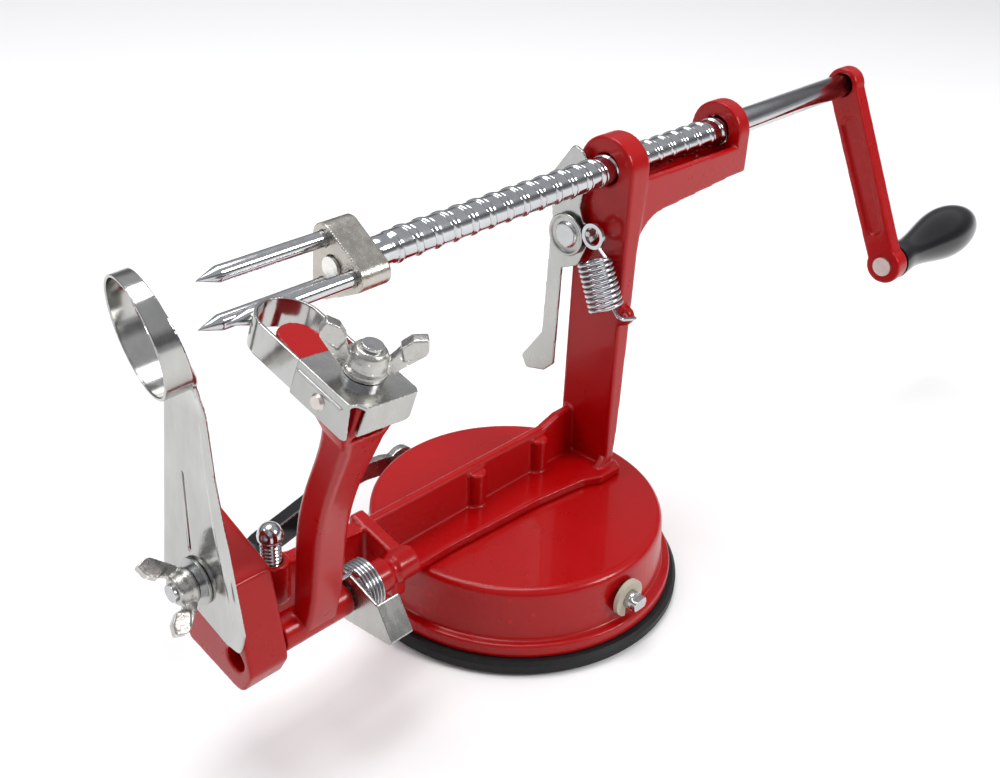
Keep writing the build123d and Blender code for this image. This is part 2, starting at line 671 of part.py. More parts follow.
def make_slicer_fasteners():
    bolt_centre = (PLATE_X - 0.1, SLICER_BOLT_Y, SLICER_BOLT_Z)
    bolt_plane = Plane(origin=bolt_centre, x_dir=(0, 0.75, 0.66), z_dir=(-1, 0, 0))
    with BuildPart() as slicer_washer:
        ring_washer(bolt_plane, 6.6, BOLT_RADIUS + 0.1, 0.9, split=False)
    save(slicer_washer.part, "slicer_washer")
    with BuildPart() as slicer_lock_washer:
        ring_washer(bolt_plane.offset(0.9), 4.6, BOLT_RADIUS + 0.1, 1.2, split=True)
    save(slicer_lock_washer.part, "slicer_lock_washer")
    wing_nut(bolt_plane.offset(2.2), 10.7, 10.5, "slicer_wing_nut")
    back = BLOCK_X + BLOCK_LENGTH
    with BuildPart() as slicer_bolt:
        bar_x(-127.4, SLICER_BOLT_Y, SLICER_BOLT_Z, BOLT_RADIUS, back + 127.4)
        hexagon_bar(Plane(origin=(back, SLICER_BOLT_Y, SLICER_BOLT_Z), z_dir=(1, 0, 0)), 8.0, 2.8)
    save(slicer_bolt.part, "slicer_bolt")


def make_stop_screw():
    with BuildPart() as stop_screw:
        with BuildSketch(Plane(origin=(STOP_SCREW_X, STOP_SCREW_Y, 0), x_dir=(1, 0, 0), z_dir=(0, -1, 0))):
            with BuildLine():
                dome = ThreePointArc((0, 62.4), (2.6, 61.2), (3.6, 58.6))
                Polyline(dome @ 1, (3.2, 56.6), (2.92, 56.2), (2.92, 42.6), (0, 42.6), dome @ 0)
            make_face()
        revolve(axis=Axis((STOP_SCREW_X, STOP_SCREW_Y, 0), (0, 0, 1)))
    save(stop_screw.part, "stop_screw")


# ---------------------------------------------------------------- peeler arm and head

def arm_section(x, y, z, wide, deep, lean):
    """One cross-section of the arm; lean is how far its normal tips toward the operator."""
    lean_angle = radians(lean)
    return Plane(origin=(x, y, z), x_dir=(1, 0, 0), z_dir=(0, -sin(lean_angle), cos(lean_angle))), wide, deep


def make_peeler_arm():
    sections = (arm_section(-93.8, -12.8, 40.0, 11.0, 6.6, 8), arm_section(-94.8, -17.6, 61.0, 10.6, 8.6, 15),
                arm_section(-97.2, -23.2, 80.0, 10.4, 8.8, 18),
                arm_section(-99.6, -32.2, 99.0, 10.6, 8.4, 28),
                arm_section(-101.4, -39.6, 113.5, 12.0, 9.4, 22))
    with BuildPart() as peeler_arm:
        for plane, wide, deep in sections:
            with BuildSketch(plane):
                RectangleRounded(wide, deep, 1.4)
        loft()
        with BuildSketch(sections[-1][0]):
            RectangleRounded(12.0, 9.4, 1.4)
        with BuildSketch(head.offset(-4.4)):
            with Locations((0, CLIP_FRONT - 10.0)):
                RectangleRounded(14.6, 15.0, 1.4)
        loft()
        with BuildSketch(head.offset(-4.4)):
            with Locations((0, CLIP_FRONT - 9.1)):
                RectangleRounded(14.6, 18.2, 1.0)
        extrude(amount=8.5)
        with BuildSketch(head.offset(-4.4)):
            with Locations((0, TONGUE_TIP - 5.2)):
                Circle(5.2)
            with Locations((0, CLIP_FRONT - 1.5)):
                Rectangle(13.8, 2.0)
            make_hull()
        extrude(amount=6.2)
        bar_x(SLEEVE_START_X, PIVOT_Y, PIVOT_Z, SLEEVE_RADIUS, SLEEVE_END_X - SLEEVE_START_X)
        bar_x(SLEEVE_START_X, PIVOT_Y, PIVOT_Z, PIN_RADIUS + RUNNING_GAP, SLEEVE_END_X - SLEEVE_START_X,
              Mode.SUBTRACT)
        slot_middle = BLADE_BOLT_AT - BLADE_TRAVEL / 2
        with BuildSketch(head.offset(-5.0)):
            with Locations((0, slot_middle)):
                SlotCenterToCenter(BLADE_TRAVEL, 2 * BOLT_RADIUS + 0.7, rotation=90)
        extrude(amount=12.0, mode=Mode.SUBTRACT)
        with BuildSketch(head.offset(-7.2)):
            with Locations((0, slot_middle)):
                Rectangle(9.4, 24.0)
        extrude(amount=2.8, mode=Mode.SUBTRACT)
    save(peeler_arm.part, "peeler_arm")


def make_arm_pivot_pin():
    with BuildPart() as arm_pivot_pin:
        bar_x(-109.0, PIVOT_Y, PIVOT_Z, PIN_RADIUS, 49.0)
    save(arm_pivot_pin.part, "arm_pivot_pin")


def make_torsion_spring():
    coil_radius = 7.6
    wire_radius = 0.5
    with BuildPart() as torsion_spring:
        with BuildLine() as winding:
            Helix(1.18, 5.9, coil_radius, center=(-79.3, PIVOT_Y, PIVOT_Z), direction=(1, 0, 0))
        with BuildSketch(Plane(origin=winding.line @ 0, z_dir=winding.line % 0)):
            Circle(wire_radius)
        sweep(path=winding.line, is_frenet=True)
        leg_start = (-79.3, PIVOT_Y - coil_radius, PIVOT_Z)
        leg_bend = (-79.4, PIVOT_Y - coil_radius - 0.3, 49.5)
        leg_end = (-88.0, PIVOT_Y - coil_radius + 1.0, 54.5)
        wire((leg_start, leg_bend, leg_end), wire_radius)
    save(torsion_spring.part, "torsion_spring")


def make_arm_lock_plate():
    sheet_x = -81.4
    sheet = 1.2
    with BuildPart() as arm_lock_plate:
        with BuildSketch(across(sheet_x)):
            with Locations((PIVOT_Y, PIVOT_Z)):
                Circle(8.3)
            with Locations((-23.2, 41.6), (-28.2, 33.6)):
                Circle(1.4)
            make_hull()
            with Locations((PIVOT_Y, PIVOT_Z)):
                Circle(PIN_RADIUS + RUNNING_GAP, mode=Mode.SUBTRACT)
        extrude(amount=sheet)
        tab = ((-24.0, 43.2), (-29.9, 33.4), (-28.9, 32.8), (-23.0, 42.6))
        slab(across(sheet_x), tab, 8.0, corners=())
    save(arm_lock_plate.part, "arm_lock_plate")


def strip_sketch(reach):
    """U-shaped strip outline on the head plane: half ring with two parallel legs."""
    half = STRIP_THICKNESS / 2
    for radius, mode in ((LOOP_RADIUS + half, Mode.ADD), (LOOP_RADIUS - half, Mode.SUBTRACT)):
        with Locations((0, -LOOP_RADIUS)):
            Circle(radius, mode=mode)
        with Locations((0, -LOOP_RADIUS)):
            Rectangle(2 * radius, reach - LOOP_RADIUS, align=(Align.CENTER, Align.MAX), mode=mode)


def make_peeler_blade():
    with BuildPart() as peeler_blade:
        with BuildSketch(head.offset(-STRIP_WIDTH / 2)):
            strip_sketch(-CLIP_FRONT + 16.0)
        extrude(amount=STRIP_WIDTH)
    save(peeler_blade.part, "peeler_blade")


def make_blade_clip():
    """Folded cover: top plate, two side flanges on the strip and one end flange."""
    outer = LOOP_RADIUS + STRIP_THICKNESS / 2 + 0.05 + CLIP_SHEET
    back = CLIP_FRONT - CLIP_LENGTH
    top = STRIP_WIDTH / 2 + 0.05
    with BuildPart() as blade_clip:
        with BuildSketch(head.offset(top)):
            with Locations((0, CLIP_FRONT - CLIP_LENGTH / 2)):
                RectangleRounded(2 * outer, CLIP_LENGTH, 0.8)
            with Locations((0, BLADE_BOLT_AT)):
                Circle(BOLT_RADIUS + 0.1, mode=Mode.SUBTRACT)
        extrude(amount=CLIP_SHEET)
        with BuildSketch(head.offset(-STRIP_WIDTH / 2)):
            for turn in (1, -1):
                with Locations((turn * (outer - CLIP_SHEET / 2), CLIP_FRONT - (CLIP_LENGTH - 2.6) / 2)):
                    Rectangle(CLIP_SHEET, CLIP_LENGTH - 2.6)
        extrude(amount=STRIP_WIDTH + 0.05)
        with BuildSketch(head.offset(-2.6)):
            with Locations((0.6, back + CLIP_SHEET / 2)):
                Rectangle(2 * outer - 2.6, CLIP_SHEET)
        extrude(amount=top + 2.6)
    save(blade_clip.part, "blade_clip")


def make_clip_rivets():
    outer = LOOP_RADIUS + STRIP_THICKNESS / 2 + 0.05 + CLIP_SHEET
    with BuildPart() as clip_rivets:
        for turn in (1, -1):
            centre = head.from_local_coords(Vector(turn * outer, CLIP_FRONT - 8.5, -0.4))
            seat = Plane(origin=centre, x_dir=head.y_dir, z_dir=head.x_dir * turn)
            with BuildSketch(seat):
                Circle(2.0)
            extrude(amount=0.7, taper=35)
    save(clip_rivets.part, "clip_rivets")


def make_blade_fasteners():
    bolt_centre = head.from_local_coords(Vector(0, BLADE_BOLT_AT, 0))
    bolt_plane = Plane(origin=bolt_centre, x_dir=head.x_dir, z_dir=head.z_dir)
    top = STRIP_WIDTH / 2 + 0.05 + CLIP_SHEET
    with BuildPart() as blade_bolt:
        disc(bolt_plane.offset(-6.8), 4.3, 2.2)
        disc(bolt_plane.offset(-4.6), BOLT_RADIUS, 4.6 + top + 9.0)
    save(blade_bolt.part, "blade_bolt")
    with BuildPart() as blade_lock_washer:
        ring_washer(bolt_plane.offset(top), 4.7, BOLT_RADIUS + 0.1, 1.3, split=True)
    save(blade_lock_washer.part, "blade_lock_washer")
    wings = Plane(origin=bolt_plane.origin, x_dir=head.x_dir * 0.78 - head.y_dir * 0.62, z_dir=head.z_dir)
    wing_nut(wings.offset(top + 1.4), 11.8, 12.0, "blade_wing_nut")


def main():
    os.makedirs("parts", exist_ok=True)
    make_suction_cup()
    make_housing()
    make_housing_screws()
    make_cup_stem()
    make_lever_axle()
    make_axle_clip()
    make_lever_grip(make_suction_lever())
    make_frame()
    make_drive_shaft()
    make_fork_hub()
    make_fork_prongs()
    make_shaft_rivet()
    make_crank_arm()
    make_crank_rivet()
    make_grip_pin()
    make_crank_grip()
    make_latch_plate()
    make_latch_pivot_screw()
    make_latch_spring()
    make_slicer_blade()
    make_slicer_fasteners()
    make_stop_screw()
    make_peeler_arm()
    make_arm_pivot_pin()
    make_torsion_spring()
    make_arm_lock_plate()
    make_peeler_blade()
    make_blade_clip()
    make_clip_rivets()
    make_blade_fasteners()


main()
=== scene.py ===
import json
import math

import bmesh
import bpy
from mathutils import Matrix, Vector

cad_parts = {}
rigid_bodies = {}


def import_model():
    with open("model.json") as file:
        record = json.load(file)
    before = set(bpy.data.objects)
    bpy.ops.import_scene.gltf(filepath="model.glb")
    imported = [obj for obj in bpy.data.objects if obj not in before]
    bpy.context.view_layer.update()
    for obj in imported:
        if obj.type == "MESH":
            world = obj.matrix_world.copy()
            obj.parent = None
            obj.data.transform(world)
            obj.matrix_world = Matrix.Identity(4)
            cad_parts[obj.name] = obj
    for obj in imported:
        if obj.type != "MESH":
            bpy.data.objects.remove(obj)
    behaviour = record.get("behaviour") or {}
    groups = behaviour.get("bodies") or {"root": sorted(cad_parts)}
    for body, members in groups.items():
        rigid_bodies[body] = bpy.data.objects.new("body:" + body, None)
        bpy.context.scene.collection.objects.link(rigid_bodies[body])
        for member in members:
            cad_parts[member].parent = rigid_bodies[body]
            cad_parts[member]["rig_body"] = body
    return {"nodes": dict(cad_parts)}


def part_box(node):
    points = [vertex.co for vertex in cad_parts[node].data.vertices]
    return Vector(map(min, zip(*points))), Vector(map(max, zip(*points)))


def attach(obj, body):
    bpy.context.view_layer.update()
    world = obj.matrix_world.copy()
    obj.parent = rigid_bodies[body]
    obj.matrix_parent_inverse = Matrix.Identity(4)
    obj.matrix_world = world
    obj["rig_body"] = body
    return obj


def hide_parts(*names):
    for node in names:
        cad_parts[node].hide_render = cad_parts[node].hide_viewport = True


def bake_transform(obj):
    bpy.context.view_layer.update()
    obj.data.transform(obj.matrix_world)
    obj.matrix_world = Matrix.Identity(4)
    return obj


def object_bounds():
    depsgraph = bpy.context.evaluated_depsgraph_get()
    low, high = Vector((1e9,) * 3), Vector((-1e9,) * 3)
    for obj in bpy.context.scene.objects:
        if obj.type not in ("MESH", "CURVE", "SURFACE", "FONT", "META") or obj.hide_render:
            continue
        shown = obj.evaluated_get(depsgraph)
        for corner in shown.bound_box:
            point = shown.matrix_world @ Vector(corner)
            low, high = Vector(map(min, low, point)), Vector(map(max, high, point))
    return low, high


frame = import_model()
cad_low, cad_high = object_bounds()
NODES = frame["nodes"]
MM = 0.001
FULL_TURN = 2 * math.pi

# ---------------------------------------------------------------- camera, in metres, degrees and mm of film
CAMERA_PLACE = (-0.2560, -0.2233, 0.26235)
CAMERA_AZIMUTH = -47.756
CAMERA_ELEVATION = 29.858
CAMERA_ROLL = 2.559
CAMERA_LENS = 45.69
FILM_WIDTH = 36.0
NEAREST, FARTHEST = 0.01, 20.0


def make_camera():
    azimuth = math.radians(CAMERA_AZIMUTH)
    elevation = math.radians(CAMERA_ELEVATION)
    roll = math.radians(CAMERA_ROLL)
    level = Vector((math.sin(azimuth), -math.cos(azimuth), 0.0)) * math.cos(elevation)
    back = level + Vector((0.0, 0.0, math.sin(elevation)))
    right = Vector((math.cos(azimuth), math.sin(azimuth), 0.0))
    up = back.cross(right)
    rolled_right = right * math.cos(roll) + up * math.sin(roll)
    rolled_up = up * math.cos(roll) - right * math.sin(roll)
    data = bpy.data.cameras.new("camera")
    data.sensor_width = FILM_WIDTH
    data.lens = CAMERA_LENS
    data.clip_start = NEAREST
    data.clip_end = FARTHEST
    camera = linked("camera", data)
    turn = Matrix((rolled_right, rolled_up, back)).transposed().to_4x4()
    camera.matrix_world = Matrix.Translation(CAMERA_PLACE) @ turn
    bpy.context.scene.camera = camera


# ---------------------------------------------------------------- light and floor, in metres and watts
AIM = Vector((-0.01, 0.0, 0.09))
LIGHTS = (  # name, place, size, power, colour
    ("overhead", (0.0, 0.25, 1.3), (0.9, 0.7), 11.0, (1.0, 1.0, 1.0)),
    ("key", (0.45, -0.90, 0.75), (0.35, 0.35), 7.0, (1.0, 0.985, 0.96)),
    ("side", (-0.9, 0.55, 0.75), (0.25, 0.6), 2.6, (0.97, 0.985, 1.0)),
)
SKY_BOTTOM = (0.42, 0.43, 0.45)
SKY_TOP = (0.50, 0.51, 0.53)
SKY_BANDS = ((0.12, 0.16), (0.32, 0.22), (0.50, 0.52))  # how far up, and how pale
SKY_BLUE = 1.04
FLOOR_SIZE = 8.0
FLOOR_GAP = 0.0004
FLOOR_TONE = 0.93


def soft_light(name, place, size, power, colour):
    data = bpy.data.lights.new(name, "AREA")
    data.shape = "RECTANGLE"
    data.size, data.size_y = size
    data.energy = power
    data.color = colour
    lamp = linked(name, data)
    lamp.location = place
    lamp.rotation_mode = "QUATERNION"
    lamp.rotation_quaternion = (AIM - Vector(place)).to_track_quat("-Z", "Y")


def make_sky():
    """Pale below and above, with a darker band at the sides for the bright metal to reflect."""
    world = bpy.data.worlds.new("studio")
    bpy.context.scene.world = world
    world.use_nodes = True
    nodes, links = world.node_tree.nodes, world.node_tree.links
    background = nodes["Background"]
    background.inputs["Strength"].default_value = 1.0
    place = nodes.new("ShaderNodeTexCoord")
    split = nodes.new("ShaderNodeSeparateXYZ")
    ramp = nodes.new("ShaderNodeValToRGB")
    links.new(place.outputs["Generated"], split.inputs["Vector"])
    links.new(split.outputs["Z"], ramp.inputs["Fac"])
    links.new(ramp.outputs["Color"], background.inputs["Color"])
    stops = ramp.color_ramp.elements
    set_stop(stops[0], 0.0, SKY_BOTTOM)
    set_stop(stops[1], 1.0, SKY_TOP)
    for position, tone in SKY_BANDS:
        set_stop(stops.new(position), position, (tone, tone, tone * SKY_BLUE))


def make_floor():
    bpy.ops.mesh.primitive_plane_add(size=FLOOR_SIZE, location=(0, 0, cad_low.z - FLOOR_GAP))
    floor = bpy.context.object
    floor.name = "floor"
    material = bpy.data.materials.new("floor")
    material.use_nodes = True
    shader = material.node_tree.nodes["Principled BSDF"]
    shader.inputs["Base Color"].default_value = (FLOOR_TONE, FLOOR_TONE, FLOOR_TONE, 1)
    shader.inputs["Roughness"].default_value = 0.7
    shader.inputs["Specular IOR Level"].default_value = 0.1
    floor.data.materials.append(material)


def make_studio():
    bpy.context.scene.view_settings.view_transform = "Standard"
    make_sky()
    for light in LIGHTS:
        soft_light(*light)
    make_floor()


# ---------------------------------------------------------------- materials
def set_stop(stop, position, colour):
    stop.position = position
    stop.color = (*colour, 1)


def add_noise(nodes, links, vector, scale, detail, roughness):
    noise = nodes.new("ShaderNodeTexNoise")
    noise.inputs["Scale"].default_value = scale
    noise.inputs["Detail"].default_value = detail
    noise.inputs["Roughness"].default_value = roughness
    links.new(vector, noise.inputs["Vector"])
    return noise.outputs["Fac"]


def add_mean(nodes, links, first, second):
    """Half of one value added to half of another."""
    half = nodes.new("ShaderNodeMath")
    half.operation = "MULTIPLY"
    half.inputs[1].default_value = 0.5
    links.new(second, half.inputs[0])
    mean = nodes.new("ShaderNodeMath")
    mean.operation = "MULTIPLY_ADD"
    mean.inputs[1].default_value = 0.5
    links.new(first, mean.inputs[0])
    links.new(half.outputs[0], mean.inputs[2])
    return mean.outputs[0]


def add_edge_wear_and_sheen(nodes, links, colour, wear_and_sheen_colour, start, end):
    """Another colour along the sharp edges, from one pointiness to another: wear on the metals, a painted
    highlight on the enamel.
    """
    geometry = nodes.new("ShaderNodeNewGeometry")
    edge = nodes.new("ShaderNodeMapRange")
    edge.inputs["From Min"].default_value = start
    edge.inputs["From Max"].default_value = end
    links.new(geometry.outputs["Pointiness"], edge.inputs["Value"])
    mix = nodes.new("ShaderNodeMix")
    mix.data_type = "RGBA"
    mix.inputs["B"].default_value = (*wear_and_sheen_colour, 1)
    links.new(edge.outputs["Result"], mix.inputs["Factor"])
    links.new(colour, mix.inputs["A"])
    return mix.outputs["Result"]


def add_gloss(nodes, links, blend, smoothest, roughest):
    gloss = nodes.new("ShaderNodeMapRange")
    gloss.inputs["From Min"].default_value = 0.3
    gloss.inputs["From Max"].default_value = 0.7
    gloss.inputs["To Min"].default_value = smoothest
    gloss.inputs["To Max"].default_value = roughest
    links.new(blend, gloss.inputs["Value"])
    return gloss.outputs["Result"]


EVEN = (1, 1, 1)
CLOUD_SHARE = 0.12  # grain of the broad clouds, as a share of the fine grain


def surface(name, tones, metallic, roughness, grain, relief, depth, stretch=EVEN, coat=0.0, edge_wear_and_sheen=None):
    """Two tones of one colour, uneven gloss and a fine relief, all from noise in the part's own space."""
    material = bpy.data.materials.new(name)
    material.use_nodes = True
    nodes, links = material.node_tree.nodes, material.node_tree.links
    shader = nodes["Principled BSDF"]
    shader.inputs["Metallic"].default_value = metallic
    shader.inputs["Coat Weight"].default_value = coat
    shader.inputs["Coat Roughness"].default_value = 0.04
    shader.inputs["Specular IOR Level"].default_value = 0.2
    place = nodes.new("ShaderNodeTexCoord")
    mapping = nodes.new("ShaderNodeMapping")
    mapping.inputs["Scale"].default_value = stretch
    links.new(place.outputs["Object"], mapping.inputs["Vector"])
    fine = add_noise(nodes, links, mapping.outputs["Vector"], grain, detail=6.0, roughness=0.6)
    cloud = add_noise(nodes, links, place.outputs["Object"], grain * CLOUD_SHARE, detail=3.0, roughness=0.5)
    blend = add_mean(nodes, links, fine, cloud)
    ramp = nodes.new("ShaderNodeValToRGB")
    set_stop(ramp.color_ramp.elements[0], 0.25, tones[0])
    set_stop(ramp.color_ramp.elements[1], 0.75, tones[1])
    links.new(blend, ramp.inputs["Fac"])
    colour = ramp.outputs["Color"]
    if edge_wear_and_sheen:
        colour = add_edge_wear_and_sheen(nodes, links, colour, *edge_wear_and_sheen)
    links.new(colour, shader.inputs["Base Color"])
    links.new(add_gloss(nodes, links, blend, *roughness), shader.inputs["Roughness"])
    bump = nodes.new("ShaderNodeBump")
    bump.inputs["Strength"].default_value = relief
    bump.inputs["Distance"].default_value = depth * MM
    links.new(fine, bump.inputs["Height"])
    links.new(bump.outputs["Normal"], shader.inputs["Normal"])
    if coat:
        links.new(bump.outputs["Normal"], shader.inputs["Coat Normal"])
    return material


PAINT, METAL = 0.0, 1.0
BRIGHT_EDGE = (0.52, 0.62)  # pointiness where wear starts, and where it is full


def make_materials():
    """Each look: two tones, paint or metal, roughness range, grain, relief, and the relief's depth in mm."""
    return {
        # The brighter red that the enamel gets along its sharp edges is a painted highlight.
        "enamel": surface(
            "red_enamel", ((0.34, 0.0004, 0.0012), (0.39, 0.0006, 0.0018)), PAINT, (0.24, 0.34), 120,
            0.30, 0.08, coat=0.22, edge_wear_and_sheen=((0.50, 0.006, 0.008), 0.52, 0.60)),
        "chrome": surface(
            "bright_chrome", ((0.46, 0.47, 0.49), (0.62, 0.63, 0.64)), METAL, (0.06, 0.17), 420, 0.25, 0.03),
        "nickel": surface(
            "cast_nickel", ((0.36, 0.335, 0.30), (0.58, 0.55, 0.50)), METAL, (0.16, 0.34), 420, 0.8, 0.18,
            edge_wear_and_sheen=((0.86, 0.84, 0.80), *BRIGHT_EDGE)),
        "zinc_cast": surface(
            "cast_zinc", ((0.36, 0.355, 0.335), (0.58, 0.57, 0.54)), METAL, (0.20, 0.38), 600, 0.8, 0.16,
            edge_wear_and_sheen=((0.88, 0.87, 0.84), *BRIGHT_EDGE)),
        "zinc_screw": surface(
            "zinc_screws", ((0.40, 0.41, 0.42), (0.60, 0.60, 0.60)), METAL, (0.16, 0.30), 700, 0.4, 0.06,
            edge_wear_and_sheen=((0.88, 0.88, 0.88), *BRIGHT_EDGE)),
        "plate": surface(
            "zinc_plate", ((0.36, 0.36, 0.345), (0.52, 0.52, 0.50)), METAL, (0.18, 0.33), 260, 0.45, 0.08,
            stretch=(1, 1, 0.3)),
        "blade": surface(
            "polished_blade", ((0.40, 0.40, 0.385), (0.56, 0.56, 0.54)), METAL, (0.08, 0.20), 330, 0.35, 0.05,
            stretch=(1, 1, 0.25)),
        "spring": surface(
            "spring_wire", ((0.42, 0.43, 0.45), (0.62, 0.63, 0.65)), METAL, (0.12, 0.24), 600, 0.2, 0.03),
        "rivet": surface(
            "rivet_steel", ((0.56, 0.50, 0.47), (0.76, 0.70, 0.66)), METAL, (0.28, 0.42), 700, 0.6, 0.08),
        "black": surface(
            "black_plastic", ((0.006, 0.006, 0.007), (0.014, 0.014, 0.016)), PAINT, (0.10, 0.22), 160,
            0.3, 0.08, coat=0.4),
        "rubber": surface(
            "black_rubber", ((0.008, 0.008, 0.009), (0.020, 0.020, 0.021)), PAINT, (0.42, 0.60), 500,
            0.5, 0.12),
        "beige": surface(
            "pale_plastic", ((0.40, 0.35, 0.28), (0.52, 0.46, 0.37)), PAINT, (0.32, 0.45), 500, 0.3, 0.05),
    }


# ---------------------------------------------------------------- objects, their looks and softened edges
CAD_WELD = 0.002
OWN_WELD = 0.001


def linked(name, data):
    """A new object in the scene, from a mesh, a light or a camera."""
    thing = bpy.data.objects.new(name, data)
    bpy.context.scene.collection.objects.link(thing)
    return thing


def paint(piece, material):
    piece.data.materials.clear()
    piece.data.materials.append(material)


def applied(piece):
    """Puts the piece's modifiers into its mesh."""
    seen = piece.evaluated_get(bpy.context.evaluated_depsgraph_get())
    mesh = bpy.data.meshes.new_from_object(seen)
    piece.modifiers.clear()
    piece.data = mesh
    return piece


def softened(piece, voxel, passes):
    """One skin over the whole piece, with its edges rounded over."""
    remesh = piece.modifiers.new("remesh", "REMESH")
    remesh.mode = "VOXEL"
    remesh.voxel_size = voxel * MM
    smooth = piece.modifiers.new("smooth", "SMOOTH")
    smooth.factor = 0.5
    smooth.iterations = passes
    applied(piece)


def finished(piece, material, node, stands_for=True):
    """Look and body of a piece that stands for a CAD node, or that is added beside one."""
    piece.data.shade_smooth()
    paint(piece, material)
    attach(piece, NODES[node]["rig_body"])
    if stands_for:
        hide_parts(node)
    return piece


def rounded(node, name, voxel, passes, material):
    """The CAD solid with its edges rounded over, as casting, pressing or plating leaves them."""
    piece = linked(name, NODES[node].data.copy())
    weld = piece.modifiers.new("weld", "WELD")
    weld.merge_threshold = CAD_WELD * MM
    softened(piece, voxel, passes)
    finished(piece, material, node)


def joined(name, meshes):
    shell = bmesh.new()
    for mesh in meshes:
        shell.from_mesh(mesh)
    whole = bpy.data.meshes.new(name)
    shell.to_mesh(whole)
    shell.free()
    return whole


def fused(name, meshes, material, node, voxel, passes):
    """Closed meshes made into one skin with softened edges, standing for a CAD node."""
    piece = linked(name, joined(name, meshes))
    softened(piece, voxel, passes)
    finished(piece, material, node)


# ---------------------------------------------------------------- meshes from points in mm
def sealed(mesh):
    """Joins points that meet, and turns every face outward."""
    shell = bmesh.new()
    shell.from_mesh(mesh)
    bmesh.ops.remove_doubles(shell, verts=shell.verts, dist=OWN_WELD * MM)
    bmesh.ops.recalc_face_normals(shell, faces=shell.faces)
    shell.to_mesh(mesh)
    shell.free()
    return mesh


def grid(rows, closed=False):
    """A mesh of quads through rows of points; closed joins the last row to the first."""
    mesh = bpy.data.meshes.new("grid")
    width = len(rows[0])
    points = [Vector(point) * MM for row in rows for point in row]
    faces = []
    for i in range(len(rows) if closed else len(rows) - 1):
        j = (i + 1) % len(rows)
        for k in range(width - 1):
            faces.append((i * width + k, i * width + k + 1, j * width + k + 1, j * width + k))
    mesh.from_pydata(points, [], faces)
    return mesh


def capped(rows, first, last):
    """A closed mesh through round rows, with a point that closes it at each end."""
    width = len(rows[0])
    return sealed(grid([[first] * width] + rows + [[last] * width]))


def thickened(mesh, thickness):
    """The sheet through a mesh, with half its thickness on either side."""
    piece = linked("sheet", mesh)
    solid = piece.modifiers.new("solid", "SOLIDIFY")
    solid.thickness = thickness * MM
    solid.offset = 0.0
    applied(piece)
    made = piece.data
    bpy.data.objects.remove(piece)
    return made


def prism(outline, place, thickness):
    """A flat sheet: an outline in the (u, v) of place, which gives points, and its thickness along w."""
    mesh = bpy.data.meshes.new("prism")
    count = len(outline)
    points = [place(u, v, w) * MM for w in (0.0, thickness) for u, v in outline]
    faces = [tuple(range(count)), tuple(range(2 * count - 1, count - 1, -1))]
    faces += [(i, i + count, (i + 1) % count + count, (i + 1) % count) for i in range(count)]
    mesh.from_pydata(points, [], faces)
    return sealed(mesh)


def lathe(profile, place, around=64):
    """A closed turned solid from (radius, height) pairs that start and end on the axis."""
    rows = []
    for radius, height in profile:
        angles = [FULL_TURN * k / around for k in range(around + 1)]
        rows.append([place(radius * math.cos(angle), radius * math.sin(angle), height) for angle in angles])
    return sealed(grid(rows))


def tube(path, radius, around=14):
    """A closed round wire along a path."""
    rows = []
    normal = None
    for i, point in enumerate(path):
        ahead = path[min(i + 1, len(path) - 1)] - path[max(i - 1, 0)]
        tangent = ahead.normalized()
        if normal is None:
            normal = tangent.orthogonal().normalized()
        normal = (normal - tangent * normal.dot(tangent)).normalized()
        side = tangent.cross(normal)
        row = []
        for k in range(around + 1):
            angle = FULL_TURN * k / around
            row.append(point + (normal * math.cos(angle) + side * math.sin(angle)) * radius)
        rows.append(row)
    return capped(rows, path[0], path[-1])


def lower_part(node, height):
    """The closed part of a CAD node below a height."""
    shell = bmesh.new()
    shell.from_mesh(NODES[node].data)
    bmesh.ops.remove_doubles(shell, verts=shell.verts, dist=CAD_WELD * MM)
    every = list(shell.verts) + list(shell.edges) + list(shell.faces)
    level, upward = (0, 0, height * MM), (0, 0, 1)
    cut = bmesh.ops.bisect_plane(shell, geom=every, plane_co=level, plane_no=upward, clear_outer=True)
    rim = [item for item in cut["geom_cut"] if isinstance(item, bmesh.types.BMEdge)]
    bmesh.ops.holes_fill(shell, edges=rim)
    mesh = bpy.data.meshes.new("lower_part")
    shell.to_mesh(mesh)
    shell.free()
    return mesh


# ---------------------------------------------------------------- slicer
RING_CENTRE = Vector((-125.9, 0.0, 131.0))
RING_NORMAL = Vector((1.0, -0.19, 0.15)).normalized()
RING_SIDE = Vector((0.19, 1.0, 0.0)).normalized()
RING_UP = RING_NORMAL.cross(RING_SIDE)
RING_RADIUS = 14.6
RING_FRONT = -3.4
REAR_POINT = Vector((-123.0, 0.0, 131.0))
REAR_NORMAL = Vector((1.0, -0.19, 0.27))
BAND = 0.8
RING_STEPS, BAND_STEPS = 160, 6

PLATE_MIDDLE_X = -118.65
PLATE_FRONT_X = -119.2
PLATE_TOP = 108.6
PLATE_LAP = 0.5

SCOOP_SHEET = 0.9
SCOOP_FROM, SCOOP_SWEEP = 138, 150  # degrees round the ring
SCOOP_STEPS, FALL_STEPS = 60, 16
SCOOP_LAP, SCOOP_LAP_MORE = 0.5, 2.0
SCOOP_FOOT_Y, SCOOP_FOOT_WIDTH = -8.35, 16.2
SCOOP_TURN = 2.2  # how soon the sheet stops following the ring and leaves it backward
FOLLOW_PULL = 24
REAR_PULL, REAR_PULL_MORE = 1.5, 7
DOWN_PULL, DOWN_PULL_LESS = 26, 18

FOLD_SHEET = 0.5
FOLD_TOP_Y, FOLD_TOP_Z = -6.8, 107.5
FOLD_DRIFT, FOLD_LENGTH = 7.9, 58.5
FOLD_HALF, FOLD_RISE, FOLD_SUNK = 2.3, 0.85, 0.3
FOLD_END = 0.12  # share of its width that is left at each end
FOLD_STEPS, FOLD_ACROSS = 40, 16


def ring_point(angle, along):
    spoke = RING_SIDE * math.cos(angle) + RING_UP * math.sin(angle)
    return RING_CENTRE + spoke * RING_RADIUS + RING_NORMAL * along


